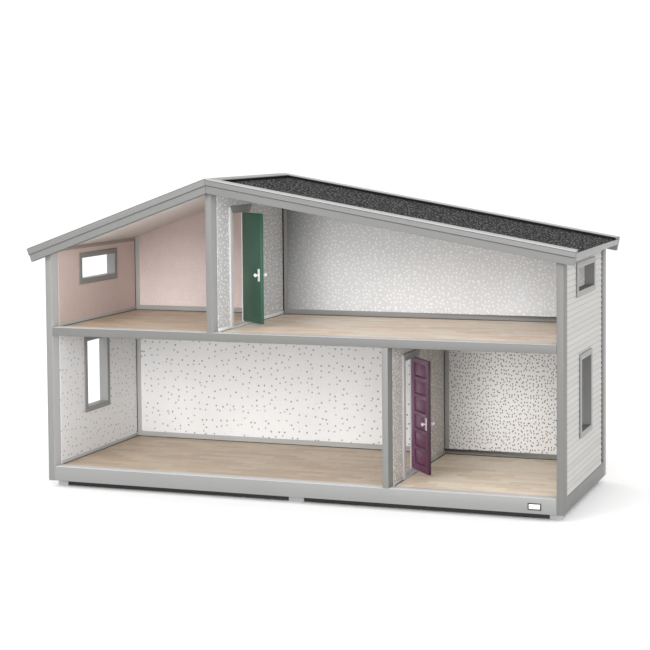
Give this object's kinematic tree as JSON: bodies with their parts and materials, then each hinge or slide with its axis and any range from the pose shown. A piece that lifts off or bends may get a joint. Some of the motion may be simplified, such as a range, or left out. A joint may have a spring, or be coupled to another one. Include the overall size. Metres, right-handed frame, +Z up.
{
  "type": "dollhouse",
  "caption": "Open-front two-storey wooden dollhouse with an off-centre ridge roof, lapped siding, papered rooms, side windows and hinged inner doors.",
  "frame": {"origin": "bottom centre of the whole house, on the surface that its runners stand on", "axes": "+Z up, +X to the right as seen from the open front, +Y from the open front to the closed back"},
  "size_m": [0.6658, 0.2538, 0.3726],
  "materials": {
    "badge": "matte",
    "board": "matte",
    "green_paint": "satin",
    "grey_board": "matte",
    "grey_trim": "matte",
    "oak": "matte",
    "purple_paint": "satin",
    "roof_covering": "matte",
    "siding": "matte",
    "steel": "satin",
    "wallpaper_back_lower_left": "matte",
    "wallpaper_back_lower_right": "matte",
    "wallpaper_back_upper_left": "matte",
    "wallpaper_back_upper_right": "matte",
    "wallpaper_sides_lower_left": "matte",
    "wallpaper_sides_lower_right": "matte",
    "wallpaper_sides_upper_left": "matte",
    "wallpaper_sides_upper_right": "matte",
    "white_plastic": "gloss"
  },
  "bodies": {
    "house": {"back_batten_left": "grey_trim", "back_batten_right": "grey_trim", "back_panel_lower": "board", "back_panel_upper": "board", "back_screws": "steel", "back_trim_lower": "grey_trim", "back_trim_upper": "grey_trim", "badge_plate": "badge", "bargeboard_front_left": "grey_trim", "bargeboard_front_right": "grey_trim", "bargeboard_rear_left": "grey_trim", "bargeboard_rear_right": "grey_trim", "base_front_rail": "grey_trim", "base_rear_rail": "grey_trim", "base_runner_left": "grey_trim", "base_runner_middle": "grey_trim", "base_runner_right": "grey_trim", "deck_joist": "board", "door_frame_lower": "grey_trim", "door_frame_upper": "grey_trim", "eave_strip_left": "grey_trim", "eave_strip_right": "grey_trim", "ground_floor_deck": "board", "hinge_pins_lower": "steel", "hinge_pins_upper": "steel", "mid_floor_panel": "grey_board", "oak_floor_lower_left": "oak", "oak_floor_lower_right": "oak", "oak_floor_upper_left": "oak", "oak_floor_upper_right": "oak", "partition_lower": "grey_board", "partition_upper": "grey_board", "plinth_strip_left": "board", "plinth_strip_right": "board", "ridge_cap": "grey_trim", "roof_covering_left": "roof_covering", "roof_covering_right": "roof_covering", "roof_panel_left": "grey_trim", "roof_panel_right": "grey_trim", "side_skirting": "grey_trim", "siding_left": "siding", "siding_right": "siding", "wall_panel_left": "grey_board", "wall_panel_right": "grey_board", "wallpaper_back_lower_left": "wallpaper_back_lower_left", "wallpaper_back_lower_right": "wallpaper_back_lower_right", "wallpaper_back_upper_left": "wallpaper_back_upper_left", "wallpaper_back_upper_right": "wallpaper_back_upper_right", "wallpaper_sides_lower_left": "wallpaper_sides_lower_left", "wallpaper_sides_lower_right": "wallpaper_sides_lower_right", "wallpaper_sides_upper_left": "wallpaper_sides_upper_left", "wallpaper_sides_upper_right": "wallpaper_sides_upper_right", "window_frame_left_lower": "grey_trim", "window_frame_left_upper": "grey_trim", "window_frame_right_lower": "grey_trim", "window_frame_right_upper": "grey_trim"},
    "upper_door": {"door_leaf_upper": "green_paint", "door_handles_upper": "white_plastic"},
    "lower_door": {"door_leaf_lower": "purple_paint", "door_handles_lower": "white_plastic"}
  },
  "joints": [
    {"name": "upper_door_hinge", "type": "hinge", "parent": "house", "child": "upper_door", "pos_m": [-0.0995, -0.0093, 0.262], "axis": [0, 0, 1], "range_deg": [-48, 46]},
    {"name": "lower_door_hinge", "type": "hinge", "parent": "house", "child": "lower_door", "pos_m": [0.1138, -0.0093, 0.094], "axis": [0, 0, 1], "range_deg": [-39.5, 54]}
  ]
}
